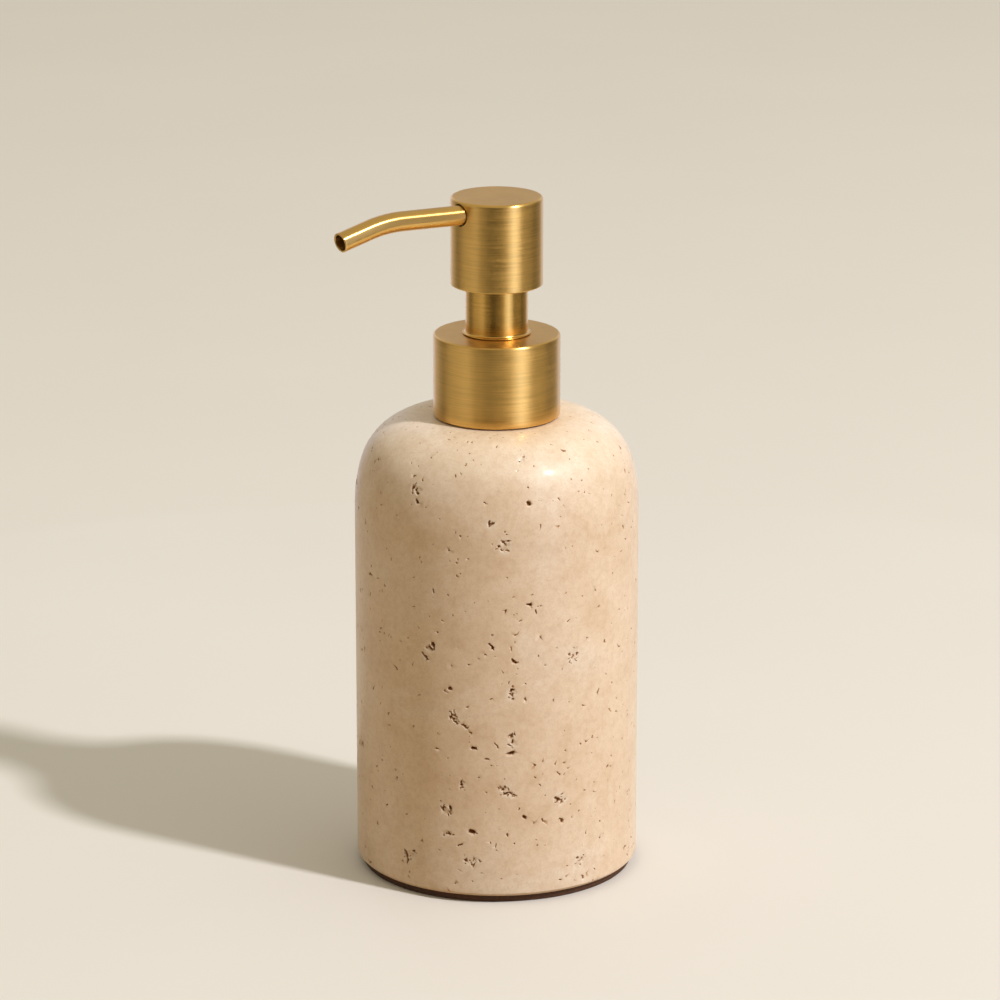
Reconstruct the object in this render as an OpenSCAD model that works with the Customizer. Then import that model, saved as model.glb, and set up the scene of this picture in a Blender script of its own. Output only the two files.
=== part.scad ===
// Countertop pump dispenser: a turned stone bottle under a screw-on metal pump.
// Millimetres. Z is the pump axis, the underside of the base pad is z = 0 and the
// spout points along -Y. The pump is drawn at rest, with its head fully up and its
// collar screwed tight.

/* [Stone bottle] */
// Outer diameter of the bottle
body_d = 75; // [68:1:92]
// Height of the stone, from its bottom face to its flat top
body_h = 121; // [100:1:150]
// Radius of the tight curve at the top of the shoulder
shoulder_r = 16.5; // [13:0.5:18]
// Radius of the long curve that leads from the straight wall into the shoulder
flank_r = 42; // [34:1:60]
// Angle that the long curve turns through
flank_angle = 17; // [8:1:24]
// Chamfer around the bottom edge of the stone
foot_chamfer = 0.8; // [0.4:0.1:1.5]
// Thickness of the stone wall around the reservoir
wall_t = 8.5; // [7:0.5:10]
// Thickness of the stone roof over the reservoir
roof_t = 10; // [8:0.5:12]
// Radius between the wall and the roof of the reservoir
cavity_corner_r = 9; // [6:0.5:11]

/* [Base] */
// Thickness of the base pad
pad_t = 2; // [1.5:0.1:3]
// Distance from the stone's edge to the pad's edge
pad_inset = 1.5; // [1:0.1:4]
// Thickness of the stone disc that closes the reservoir
plug_t = 6; // [4:0.5:8]
// Width of the ledge that the closing disc is glued against
plug_ledge = 3; // [2:0.5:4]
// Glue space around pieces that are bonded into the stone
glue_gap = 0.1; // [0.05:0.01:0.2]

/* [Bottle neck] */
// Diameter over the neck's thread
thread_d = 27.4; // [24:0.1:33]
// Height of a thread ridge over the neck
thread_depth = 1.1; // [0.8:0.1:1.3]
// Wall of the neck
neck_wall = 1.6; // [1.2:0.1:2]
// Height of the neck above the stone
neck_h = 16.5; // [14:0.5:20]
// Wall of the neck's skirt inside the mouth
neck_skirt_wall = 2.9; // [1.6:0.1:3.4]
// Length of the neck's skirt inside the mouth
neck_skirt_h = 9.5; // [6:0.5:11.5]
// Width of the neck's flange outside the mouth
neck_flange_w = 1.2; // [0.8:0.1:1.5]
// Thickness of the flange that rests on the stone
neck_flange_t = 1.2; // [1:0.1:1.6]
// Rise of the thread in one turn
thread_pitch = 4.2333; // [4:0.01:5]
// Turns of thread on the neck
thread_turns = 1.5; // [1:0.25:1.75]
// Width of a thread ridge at its root
ridge_root_w = 2.4; // [2:0.1:2.5]
// Width of a thread ridge at its crest
ridge_crest_w = 1.2; // [0.8:0.1:1.3]
// Distance from the neck's rim to the middle of the thread's top end
thread_rim_gap = 2.75; // [2.5:0.05:3.5]
// Space between the threads across the ridges
thread_gap = 0.25; // [0.2:0.05:0.3]

/* [Collar] */
// Wall of the plastic closure around the thread
closure_wall = 1.95; // [1.6:0.05:2.6]
// Wall of the metal collar
collar_wall = 0.8; // [0.8:0.1:1]
// Thickness of the metal collar's top
collar_top_t = 0.9; // [0.7:0.1:1.2]
// Thickness of the plastic closure's top
closure_top_t = 1.8; // [1.4:0.1:2.4]
// Turns of thread inside the closure
closure_turns = 1.25; // [1:0.25:1.25]
// Gap between the collar and the stone
collar_gap = 0.4; // [0.3:0.1:0.8]
// Gap between faces that turn on each other
turn_gap = 0.15; // [0.1:0.05:0.2]
// Clearance around the stem guide where it passes through the collar
collar_hole_gap = 0.4; // [0.3:0.1:0.6]
// Rounding of the collar's and the head's bottom edge
rim_round = 0.3; // [0.2:0.05:0.4]
// Rounding of the collar's top edge
collar_round = 0.8; // [0.4:0.1:0.8]

/* [Neck sleeve] */
// Wall of the metal sleeve between the collar and the head
sleeve_wall = 0.8; // [0.6:0.1:1]
// Width of the sleeve's foot outside the sleeve
sleeve_foot_w = 0.8; // [0.6:0.1:1]
// Thickness of the sleeve's foot
sleeve_foot_t = 0.9; // [0.7:0.1:1.1]
// Length of the sleeve that the raised head hides
sleeve_lap = 3; // [2:0.5:4]

/* [Head] */
// Space between the sleeve and the plastic skirt that slides down over it
sleeve_space = 1.4; // [1.2:0.1:3]
// Wall of the metal head
head_wall = 0.9; // [0.8:0.1:1.2]
// Thickness of the metal head's top
head_top_t = 0.8; // [0.7:0.1:1.2]
// Rounding of the head's top edge
head_round = 0.9; // [0.5:0.1:0.9]
// Travel of the head when it is pressed
stroke = 12; // [9:0.5:15]
// Space left over the collar when the head is fully down
head_gap = 1.2; // [1:0.1:2]
// Space left over the sleeve when the head is fully down
crown_gap = 0.8; // [0.6:0.1:1.2]
// Plastic under the spout inside the head
crown_floor = 0.85; // [0.8:0.05:1.5]
// Width of the space between the metal head and the crown that holds the spout
crown_space = 3.2; // [2:0.1:4]
// Wall of the plastic skirt inside the head
skirt_wall = 1.6; // [1:0.1:1.8]
// Distance from the head's bottom edge up to the plastic skirt
skirt_inset = 1.2; // [0.8:0.1:2]

/* [Spout] */
// Outer diameter of the spout tube
spout_d = 5.2; // [4.6:0.1:6.2]
// Wall of the spout tube
spout_wall = 0.5; // [0.4:0.05:0.7]
// Angle that the spout rises at where it leaves the head
spout_rise = 3; // [0:0.5:4]
// Angle that the spout's end falls at
spout_fall = 13; // [5:1:40]
// Radius of the spout's bend along its centre line
spout_bend_r = 38; // [12:1:60]
// Length from the pump axis to the start of the bend
spout_straight = 30.5; // [25:0.5:45]
// Straight length after the bend
spout_end = 9; // [5:0.5:15]
// Distance from the pump axis to the spout's inner end
spout_inset = 3.2; // [2.8:0.1:4]
// Height between the spout and the crown's top, at the head's wall
spout_cover = 0.12; // [0.1:0.01:0.5]
// Width of the gap around the spout where it leaves the head
spout_hole_gap = 0.35; // [0.2:0.05:0.5]

/* [Pump cylinder] */
// Bore of the pump cylinder
bore_d = 13; // [12.2:0.1:15.6]
// Wall of the pump cylinder
cylinder_wall = 1.3; // [1:0.1:1.5]
// Thickness of the flange that hangs on the neck
flange_t = 1.7; // [1.4:0.1:2.2]
// Width by which the flange and the gasket stand out over the neck
flange_w = 0.4; // [0:0.1:0.8]
// Thickness of the neck gasket
gasket_t = 1.2; // [0.8:0.1:1.6]
// Clearance between the flange and the closure's ceiling
face_gap = 0.1; // [0.05:0.05:0.2]
// Depth of the seat for the stem guide
guide_seat_h = 11.2; // [9:0.2:14]
// Width of the ledge in the cylinder under the stem guide
guide_ledge = 1; // [0.8:0.1:1.4]
// Wall of the stem guide
guide_wall = 1.2; // [0.9:0.1:1.4]
// Length of the stem guide inside the sleeve
guide_tower_h = 5.2; // [4:0.2:6]
// Thickness of the stem guide's top
guide_top_t = 3; // [2:0.5:4]
// Diameter of the vent hole
vent_d = 1.2; // [0.8:0.1:1.5]

/* [Piston and stem] */
// Diameter of the stem
stem_d = 7; // [6:0.1:8]
// Wall of the stem
stem_wall = 1.3; // [0.9:0.1:1.5]
// Height of the piston seal
seal_h = 9.8; // [8:0.2:12]
// Running clearance of the seal in the cylinder and of the stem in the seal
seal_gap = 0.05; // [0.03:0.01:0.08]
// Running clearance of the stem in its guide
stem_gap = 0.1; // [0.08:0.01:0.1]
// Thickness of the piston rod's flange
rod_flange_t = 1.5; // [1.2:0.1:2]
// Length of the piston rod inside the stem
rod_reach = 18; // [12:1:24]
// Wall of the hub that holds the stem
hub_wall = 1.5; // [1.2:0.1:2]

/* [Return spring] */
// Wire of the return spring
wire_d = 1; // [0.8:0.1:1.2]
// Mean diameter of the return spring
spring_d = 9.2; // [8.8:0.1:9.6]
// Turns of the return spring, with its closed ends
spring_turns = 7; // [5:0.5:7]
// Space left in the spring's length with the head fully down
spring_slack = 0.4; // [0.2:0.1:2]

/* [Inlet valve and dip tube] */
// Diameter of the inlet ball
ball_d = 5.6; // [5:0.1:6]
// Width of the ball beyond the hole that it closes
seat_lip = 0.6; // [0.4:0.1:0.9]
// Lift of the inlet ball
ball_lift = 1.5; // [1:0.1:2]
// Thickness of the ball cage
cage_t = 1.6; // [1.2:0.1:2]
// Outer diameter of the dip tube
dip_d = 6.4; // [5.6:0.1:7]
// Wall of the dip tube
dip_wall = 0.9; // [0.7:0.1:1.1]
// Length of the dip tube inside its socket
dip_socket_h = 8; // [6:0.5:10]
// Gap between the dip tube and the reservoir's floor
dip_floor_gap = 2; // [1:0.5:5]

/* [Hidden] */
$fn = 96;

// Overlap that lets one cut run cleanly past another face
cut = 1;

// Radii of the stone and the pieces bonded into it
body_r = body_d / 2;
cavity_r = body_r - wall_t;
plug_r = cavity_r + plug_ledge;
thread_r = thread_d / 2;
neck_r = thread_r - thread_depth;
neck_bore_r = neck_r - neck_wall;
neck_skirt_r = neck_bore_r + neck_skirt_wall;
mouth_r = neck_skirt_r + glue_gap;
neck_flange_r = mouth_r + neck_flange_w;
flange_r = neck_r + flange_w;
shoulder_x = body_r - flank_r + (flank_r - shoulder_r) * cos(flank_angle);
flank_x = body_r - flank_r;

// Heights of the stone, measured from its own bottom face
shoulder_h = body_h - shoulder_r;
flank_h = shoulder_h - (flank_r - shoulder_r) * sin(flank_angle);
cavity_h = body_h - roof_t;

// Heights of the stack from the table to the collar's top
floor_z = pad_t + plug_t;
stone_top = pad_t + body_h;
neck_top = stone_top + neck_h;
gasket_top = neck_top + gasket_t;
flange_top = gasket_top + flange_t;
ceiling_z = flange_top + face_gap;
closure_top = ceiling_z + closure_top_t;
collar_top = closure_top + collar_top_t;
collar_z = stone_top + collar_gap;
closure_z = stone_top + neck_flange_t + collar_gap;

// Thread of the neck, and the closure's thread under it
thread_z = neck_top - thread_rim_gap - thread_turns * thread_pitch;
mesh_offset = (ridge_root_w + ridge_crest_w) / 2 + thread_gap;
closure_bore_r = thread_r + thread_gap;
closure_thread_z = thread_z - mesh_offset;
ridge_sink = 0.4;
ridge_fade = 1 / 9;
ridge_start = 0.15;
steps_per_turn = 36;

// Radii from the pump cylinder's bore out to the collar and the head
bore_r = bore_d / 2;
guide_r = bore_r + guide_ledge;
collar_hole_r = guide_r + collar_hole_gap;
closure_r = closure_bore_r + closure_wall;
collar_r = closure_r + collar_wall;
tower_step = 0.1;
sleeve_bore_r = guide_r - tower_step;
sleeve_r = sleeve_bore_r + sleeve_wall;
sleeve_foot_r = sleeve_r + sleeve_foot_w;
skirt_bore_r = sleeve_r + sleeve_space;
head_bore_r = skirt_bore_r + skirt_wall;
head_r = head_bore_r + head_wall;
crown_r = head_bore_r - crown_space;

// Heights of the sleeve and the head
sleeve_z = collar_top + turn_gap;
head_z = collar_top + stroke + head_gap;
sleeve_top = head_z + sleeve_lap;
web_z = sleeve_top + stroke + crown_gap;
web_t = crown_floor;
spout_z = web_z + crown_floor + spout_d / 2;
crown_top = spout_z + head_r * tan(spout_rise) + spout_d / 2 + spout_cover;
head_top = crown_top + head_top_t;
spout_hole_d = spout_d + 2 * spout_hole_gap;
spout_turn = spout_rise + spout_fall;
bend_lap = 0.3;
bend_swell = 0.04;

// Stem guide, seated in the top of the pump cylinder
guide_seat_z = flange_top - guide_seat_h;
seat_clearance = 0.2;
guide_z = guide_seat_z + seat_clearance;
guide_top = sleeve_z + guide_tower_h;
guide_bush_inset = 2;
guide_bush_z = guide_z + guide_bush_inset;
guide_bush_wall = 1.2;

// Stem, piston and hub
stem_r = stem_d / 2;
stem_bore_r = stem_r - stem_wall;
cylinder_r = bore_r + cylinder_wall;
barrel_r = guide_r + cylinder_wall;
seal_drop = 1.8;
seal_top = guide_seat_z - seal_drop;
seal_z = seal_top - seal_h;
lip_t = 0.7;
lip_h = 3;
seal_body_r = (bore_r + stem_r) / 2;
rod_flange_z = seal_z - face_gap - rod_flange_t;
rod_flange_r = spring_d / 2 + wire_d / 2;
port_h = 2.4;
stem_z = seal_z + port_h;
hub_lift = 2;
hub_z = guide_top + stroke + hub_lift;
stem_top = web_z - seat_clearance;
rod_core_r = 1.2;
rod_rib_t = 0.9;
rod_ribs = 4;
rod_guide_gap = 1.1;
rod_guide_r = (spring_d - wire_d) / 2 - rod_guide_gap;
rod_guide_h = 5;
rod_guide_tip_r = 2;
rod_guide_tip_h = 1;

// Return spring, standing on the ball cage
spring_gap = 0.05;
spring_solid_h = (spring_turns + 1) * wire_d + spring_slack;
spring_h = stroke + spring_solid_h;
cage_top = rod_flange_z - spring_h;
ledge_z = cage_top - cage_t;
wire_sides = 8;
wire_steps = 24;
end_turns = 1;

// Inlet ball on its seat, under the cage
ball_r = ball_d / 2;
seat_r = ball_r - seat_lip;
chamber_gap = 0.6;
chamber_r = ball_r + chamber_gap;
ball_gap = 0.02;
ball_rise = sqrt(ball_r * ball_r - seat_r * seat_r) + ball_gap;
cage_pin_h = 1.3;
cage_pin_r = 1.6;
cage_holes = 3;
cage_hole_r = 0.9;
cage_hole_x = 2.6;
pin_clearance = 0.15;
seat_z = ledge_z - cage_pin_h - pin_clearance - ball_lift - ball_r - ball_rise;
ball_z = seat_z + ball_rise;

// Dip tube in its socket
dip_r = dip_d / 2;
dip_bore_r = dip_r - dip_wall;
seat_web_t = 2.5;
dip_top = seat_z - seat_web_t;
dip_z = floor_z + dip_floor_gap;
dip_cut_angle = 40;
socket_z = dip_top - dip_socket_h;
socket_r = dip_r + cylinder_wall;
chamber_wall_r = chamber_r + cylinder_wall;

// A rectangle whose two outer corners are rounded
module rounded_rect(w, h, top_r, bottom_r) {
    translate([0, bottom_r])
        square([w, h - top_r - bottom_r]);
    square([w - bottom_r, h / 2]);
    translate([0, h / 2])
        square([w - top_r, h / 2]);
    translate([w - top_r, h - top_r])
        circle(r = top_r);
    translate([w - bottom_r, bottom_r])
        circle(r = bottom_r);
}

// A ridge that climbs round a wall: root_r is the wall's radius and crest_r the ridge's
module helical_ridge(root_r, crest_r, turns) {
    steps = round(turns * steps_per_turn);
    side = sign(crest_r - root_r);
    sunk_r = root_r - side * ridge_sink;
    rings = [
        for (i = [0:steps])
        let (
            turn = i / steps_per_turn,
            grow = min(1, turn / ridge_fade, (turns - turn) / ridge_fade),
            top_r = root_r + (crest_r - root_r) * max(ridge_start, grow),
            profile = [
                [sunk_r, -ridge_root_w / 2], [top_r, -ridge_crest_w / 2],
                [top_r, ridge_crest_w / 2], [sunk_r, ridge_root_w / 2]
            ]
        )
        for (p = profile)
        [p[0] * cos(360 * turn), p[0] * sin(360 * turn), p[1] + thread_pitch * turn]
    ];
    walls = [
        for (i = [0:steps - 1])
        for (j = [0:3])
        for (t = [0:1])
        let (
            a = 4 * i + j,
            b = 4 * i + (j + 1) % 4,
            tri = t == 0 ? [a, b, b + 4] : [a, b + 4, a + 4]
        )
        side > 0 ? tri : [tri[2], tri[1], tri[0]]
    ];
    last = 4 * steps;
    caps = side > 0
        ? [[3, 2, 1, 0], [last, last + 1, last + 2, last + 3]]
        : [[0, 1, 2, 3], [last + 3, last + 2, last + 1, last]];
    polyhedron(points = rings, faces = concat(walls, caps));
}

// The stone's outside, from the axis out
module stone_outline() {
    intersection() {
        square([body_r, body_h]);
        union() {
            polygon([
                [0, 0], [body_r - foot_chamfer, 0], [body_r, foot_chamfer],
                [body_r, flank_h], [0, flank_h]
            ]);
            intersection() {
                translate([flank_x, flank_h])
                    circle(r = flank_r);
                polygon([
                    [flank_x, flank_h], [flank_x + 2 * flank_r, flank_h],
                    [flank_x + 2 * flank_r * cos(flank_angle), flank_h + 2 * flank_r * sin(flank_angle)]
                ]);
            }
            polygon([
                [0, flank_h - flank_x * tan(flank_angle)], [shoulder_x, shoulder_h],
                [shoulder_x, body_h], [0, body_h]
            ]);
            translate([shoulder_x, shoulder_h])
                circle(r = shoulder_r);
        }
    }
}

// The reservoir, the ledge for the closing disc and the mouth
module cavity_outline() {
    translate([0, -cut])
        square([cavity_r, cavity_h - cavity_corner_r + cut]);
    square([cavity_r - cavity_corner_r, cavity_h]);
    translate([cavity_r - cavity_corner_r, cavity_h - cavity_corner_r])
        circle(r = cavity_corner_r);
    translate([0, -cut])
        square([plug_r, plug_t + cut]);
    square([mouth_r, body_h + cut]);
}

module stone_body() {
    color("wheat")
        translate([0, 0, pad_t])
            rotate_extrude()
                difference() {
                    stone_outline();
                    cavity_outline();
                }
}

module base_plug() {
    color("tan")
        translate([0, 0, pad_t])
            cylinder(r = plug_r - glue_gap, h = plug_t);
}

module base_pad() {
    color("saddlebrown")
        cylinder(r = body_r - pad_inset, h = pad_t);
}

module neck_insert() {
    color("ivory") {
        rotate_extrude()
            difference() {
                union() {
                    translate([0, stone_top - neck_skirt_h])
                        square([neck_skirt_r, neck_skirt_h]);
                    translate([0, stone_top])
                        square([neck_flange_r, neck_flange_t]);
                    translate([0, stone_top])
                        square([neck_r, neck_h]);
                }
                square([neck_bore_r, neck_top + cut]);
            }
        translate([0, 0, thread_z])
            helical_ridge(neck_r, thread_r, thread_turns);
    }
}

module neck_gasket() {
    color("white")
        translate([0, 0, neck_top])
            difference() {
                cylinder(r = flange_r, h = gasket_t);
                translate([0, 0, -cut])
                    cylinder(r = neck_bore_r, h = gasket_t + 2 * cut);
            }
}

// The cylinder's outside, stepping in from the flange to the dip tube's socket
module housing_outline() {
    translate([0, gasket_top])
        square([flange_r, flange_t]);
    translate([0, guide_seat_z - cylinder_wall])
        square([barrel_r, flange_top - guide_seat_z + cylinder_wall]);
    translate([0, ledge_z - cylinder_wall])
        square([cylinder_r, flange_top - ledge_z + cylinder_wall]);
    translate([0, dip_top])
        square([chamber_wall_r, ledge_z - dip_top]);
    translate([0, socket_z])
        square([socket_r, dip_socket_h]);
}

// The cylinder's inside: guide seat, bore, ball chamber, ball seat and tube socket
module housing_bores() {
    translate([0, guide_seat_z])
        square([guide_r, guide_seat_h + cut]);
    translate([0, ledge_z])
        square([bore_r, guide_seat_z - ledge_z + cut]);
    translate([0, seat_z])
        square([chamber_r, ledge_z - seat_z + cut]);
    translate([0, socket_z])
        square([seat_r, seat_z - socket_z + cut]);
    translate([0, socket_z - cut])
        square([dip_r, dip_socket_h + cut]);
}

module pump_housing() {
    color("white")
        difference() {
            rotate_extrude()
                difference() {
                    housing_outline();
                    housing_bores();
                }
            translate([0, 0, (seal_z + seal_top) / 2])
                rotate([0, 90, 0])
                    cylinder(d = vent_d, h = cylinder_r + cut);
        }
}

module ball_cage() {
    color("white")
        difference() {
            union() {
                translate([0, 0, ledge_z])
                    cylinder(r = bore_r, h = cage_t);
                translate([0, 0, ledge_z - cage_pin_h])
                    cylinder(r = cage_pin_r, h = cage_pin_h + cage_t);
            }
            for (i = [0:cage_holes - 1])
                rotate([0, 0, 360 * i / cage_holes])
                    translate([cage_hole_x, 0, ledge_z - cage_pin_h - cut])
                        cylinder(r = cage_hole_r, h = cage_pin_h + cage_t + 2 * cut);
        }
}

module inlet_ball() {
    color("silver")
        translate([0, 0, ball_z])
            sphere(r = ball_r);
}

module dip_tube() {
    color("whitesmoke")
        difference() {
            translate([0, 0, dip_z])
                cylinder(r = dip_r, h = dip_top - dip_z);
            translate([0, 0, dip_z - cut])
                cylinder(r = dip_bore_r, h = dip_top - dip_z + 2 * cut);
            translate([-dip_d, -dip_r, dip_z])
                rotate([dip_cut_angle, 0, 0])
                    translate([0, -dip_d, -2 * dip_d])
                        cube([2 * dip_d, 3 * dip_d, 2 * dip_d]);
        }
}

// Height of the wire's centre after a number of turns: both ends lie closed
function coil_rise(turn) =
    let (
        closed = wire_d * min(turn, end_turns),
        open_turns = spring_turns - 2 * end_turns,
        open_h = spring_h - 2 * spring_gap - wire_d * (1 + 2 * end_turns),
        open = open_h * max(0, min(1, (turn - end_turns) / open_turns)),
        top = wire_d * max(0, turn - end_turns - open_turns)
    )
    closed + open + top;

module return_spring() {
    steps = round(spring_turns * wire_steps);
    wire = [
        for (i = [0:steps])
        for (j = [0:wire_sides - 1])
        let (
            turn = i / wire_steps,
            around = 360 * j / wire_sides,
            r = spring_d / 2 + wire_d / 2 * cos(around)
        )
        [r * cos(360 * turn), r * sin(360 * turn), coil_rise(turn) + wire_d / 2 * sin(around)]
    ];
    walls = [
        for (i = [0:steps - 1])
        for (j = [0:wire_sides - 1])
        for (t = [0:1])
        let (
            a = wire_sides * i + j,
            b = wire_sides * i + (j + 1) % wire_sides
        )
        t == 0 ? [b + wire_sides, b, a] : [a + wire_sides, b + wire_sides, a]
    ];
    caps = [
        [for (j = [0:wire_sides - 1]) j],
        [for (j = [wire_sides - 1:-1:0]) wire_sides * steps + j]
    ];
    color("silver")
        translate([0, 0, cage_top + spring_gap + wire_d / 2])
            polyhedron(points = wire, faces = concat(walls, caps));
}

module stem_guide() {
    bush_r = stem_r + stem_gap + guide_bush_wall;
    color("white")
        rotate_extrude()
            difference() {
                union() {
                    translate([0, guide_z])
                        square([guide_r, sleeve_z - guide_z]);
                    translate([0, guide_z])
                        square([sleeve_bore_r, guide_top - guide_z]);
                }
                square([stem_r + stem_gap, guide_top + cut]);
                translate([bush_r, guide_z - cut])
                    square([guide_r - guide_wall - bush_r, guide_top - guide_top_t - guide_z + cut]);
                translate([0, guide_z - cut])
                    square([guide_r - guide_wall, guide_bush_z - guide_z + cut]);
            }
}

module neck_sleeve() {
    color("peru")
        rotate_extrude()
            difference() {
                union() {
                    translate([0, sleeve_z])
                        square([sleeve_r, sleeve_top - sleeve_z]);
                    translate([0, sleeve_z])
                        rounded_rect(sleeve_foot_r, sleeve_foot_t, sleeve_foot_t / 3, sleeve_foot_t / 3);
                    translate([0, sleeve_z + sleeve_foot_t / 2])
                        square([sleeve_r + sleeve_foot_w / 2, sleeve_foot_t / 2 + sleeve_foot_w]);
                }
                translate([sleeve_foot_r, sleeve_z + sleeve_foot_t + sleeve_foot_w])
                    circle(r = sleeve_foot_w);
                square([sleeve_bore_r, sleeve_top + cut]);
            }
}

module closure() {
    color("ivory") {
        rotate_extrude()
            difference() {
                translate([0, closure_z])
                    square([closure_r, closure_top - closure_z]);
                square([closure_bore_r, ceiling_z]);
                square([collar_hole_r, closure_top + cut]);
            }
        translate([0, 0, closure_thread_z])
            helical_ridge(closure_bore_r, neck_r + thread_gap, closure_turns);
    }
}

module collar_shell() {
    color("goldenrod")
        rotate_extrude()
            difference() {
                translate([0, collar_z])
                    rounded_rect(collar_r, collar_top - collar_z, collar_round, rim_round);
                square([closure_r, closure_top]);
                square([collar_hole_r, collar_top + cut]);
            }
}

// A short sleeve with a flared lip at each end
module piston_seal() {
    lip_r = bore_r - seal_gap;
    sleeve_in_r = stem_r + seal_gap;
    color("white")
        rotate_extrude()
            polygon([
                [sleeve_in_r, seal_z], [seal_body_r, seal_z],
                [seal_body_r, seal_z + lip_h], [lip_r - lip_t, seal_z],
                [lip_r, seal_z], [lip_r, seal_z + lip_t],
                [seal_body_r, seal_z + lip_h + lip_t], [seal_body_r, seal_top - lip_h - lip_t],
                [lip_r, seal_top - lip_t], [lip_r, seal_top],
                [lip_r - lip_t, seal_top], [seal_body_r, seal_top - lip_h],
                [seal_body_r, seal_top], [sleeve_in_r, seal_top]
            ]);
}

module piston_rod() {
    rod_top = stem_z + rod_reach;
    color("white") {
        translate([0, 0, rod_flange_z])
            cylinder(r = rod_flange_r, h = rod_flange_t);
        translate([0, 0, rod_flange_z - rod_guide_h])
            cylinder(r = rod_guide_r, h = rod_guide_h);
        translate([0, 0, rod_flange_z - rod_guide_h - rod_guide_tip_h])
            cylinder(r1 = rod_guide_tip_r, r2 = rod_guide_r, h = rod_guide_tip_h);
        translate([0, 0, rod_flange_z])
            cylinder(r = rod_core_r, h = rod_top - rod_flange_z);
        intersection() {
            translate([0, 0, rod_flange_z])
                cylinder(r = stem_bore_r, h = rod_top - rod_flange_z);
            for (i = [0:rod_ribs - 1])
                rotate([0, 0, 360 * i / rod_ribs])
                    translate([0, -rod_rib_t / 2, rod_flange_z])
                        cube([stem_r, rod_rib_t, rod_top - rod_flange_z]);
        }
    }
}

module stem() {
    color("white")
        rotate_extrude()
            translate([stem_bore_r, stem_z])
                square([stem_r - stem_bore_r, stem_top - stem_z]);
}

// A rod of diameter d along the spout's centre line, longer at both ends by extra.
// The bend is a hair fatter than the straight lengths, which end just inside it.
module spout_rod(d, extra) {
    rotate([0, 0, -90])
        translate([0, 0, spout_z])
            rotate([0, -spout_rise, 0]) {
                translate([spout_inset - extra, 0, 0])
                    rotate([0, 90, 0])
                        cylinder(d = d, h = spout_straight - spout_inset + extra + bend_lap);
                translate([spout_straight, 0, -spout_bend_r]) {
                    rotate([90, 0, 0])
                        rotate([0, 0, 90 - spout_turn])
                            rotate_extrude(angle = spout_turn)
                                translate([spout_bend_r, 0])
                                    circle(d = d + bend_swell);
                    rotate([0, spout_turn, 0])
                        translate([-bend_lap, 0, spout_bend_r])
                            rotate([0, 90, 0])
                                cylinder(d = d, h = spout_end + extra + bend_lap);
                }
            }
}

// A straight cut along the spout's root, from the pump axis outwards
module spout_drill(d, from, to) {
    rotate([0, 0, -90])
        translate([0, 0, spout_z])
            rotate([0, -spout_rise, 0])
                translate([from, 0, 0])
                    rotate([0, 90, 0])
                        cylinder(d = d, h = to - from);
}

module head_insert() {
    hub_r = stem_r + hub_wall;
    color("white")
        difference() {
            rotate_extrude()
                difference() {
                    union() {
                        translate([0, hub_z])
                            square([hub_r, web_z - hub_z + web_t]);
                        translate([0, web_z])
                            square([crown_r, crown_top - web_z]);
                        translate([0, web_z])
                            square([head_bore_r, web_t]);
                        translate([head_bore_r - skirt_wall, head_z + skirt_inset])
                            square([skirt_wall, web_z + web_t - head_z - skirt_inset]);
                    }
                    square([stem_r, stem_top]);
                    square([stem_bore_r, spout_z]);
                }
            spout_drill(spout_d - 2 * spout_wall, 0, spout_inset + cut);
            spout_drill(spout_d, spout_inset, head_r + cut);
        }
}

module head_shell() {
    color("goldenrod")
        difference() {
            rotate_extrude()
                difference() {
                    translate([0, head_z])
                        rounded_rect(head_r, head_top - head_z, head_round, rim_round);
                    square([head_bore_r, crown_top]);
                }
            spout_drill(spout_hole_d, crown_r, head_r + cut);
        }
}

module spout() {
    color("gold")
        difference() {
            spout_rod(spout_d, 0);
            spout_rod(spout_d - 2 * spout_wall, cut);
        }
}

stone_body();
base_plug();
base_pad();
neck_insert();
neck_gasket();
pump_housing();
ball_cage();
inlet_ball();
dip_tube();
return_spring();
stem_guide();
neck_sleeve();
closure();
collar_shell();
piston_seal();
piston_rod();
stem();
head_insert();
head_shell();
spout();
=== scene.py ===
"""Looks for a stone soap dispenser with a brushed brass pump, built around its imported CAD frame.

Metres. Z is the pump axis, the table is z = 0 and the spout points along -Y.
"""

import math

import bpy
import numpy as np
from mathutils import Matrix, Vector, noise


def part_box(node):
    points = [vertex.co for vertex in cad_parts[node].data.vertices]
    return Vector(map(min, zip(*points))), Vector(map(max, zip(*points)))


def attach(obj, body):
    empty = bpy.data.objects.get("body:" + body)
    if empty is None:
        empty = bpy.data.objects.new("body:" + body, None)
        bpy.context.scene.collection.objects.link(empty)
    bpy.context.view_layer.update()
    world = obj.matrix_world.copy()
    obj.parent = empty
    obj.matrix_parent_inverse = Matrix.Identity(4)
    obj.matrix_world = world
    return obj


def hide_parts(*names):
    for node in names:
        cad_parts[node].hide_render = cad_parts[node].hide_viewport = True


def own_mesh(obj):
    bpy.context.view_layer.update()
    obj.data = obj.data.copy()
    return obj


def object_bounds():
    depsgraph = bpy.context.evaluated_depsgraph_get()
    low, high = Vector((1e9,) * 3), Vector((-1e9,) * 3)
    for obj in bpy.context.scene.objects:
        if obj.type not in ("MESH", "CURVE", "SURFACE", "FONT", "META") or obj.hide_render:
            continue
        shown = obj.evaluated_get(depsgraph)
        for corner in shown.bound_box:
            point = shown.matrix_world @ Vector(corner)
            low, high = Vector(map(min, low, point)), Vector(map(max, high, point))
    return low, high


MM = 0.001

# Camera: the direction it looks from, its distance from the pump axis and its height
VIEW_AZIMUTH = math.radians(53)
CAMERA_DISTANCE = 1.23375
CAMERA_HEIGHT = 0.4614
CAMERA_PITCH = math.radians(16.346)
CAMERA_PAN = math.radians(0.04)
CAMERA_LENS = 175.2

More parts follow.
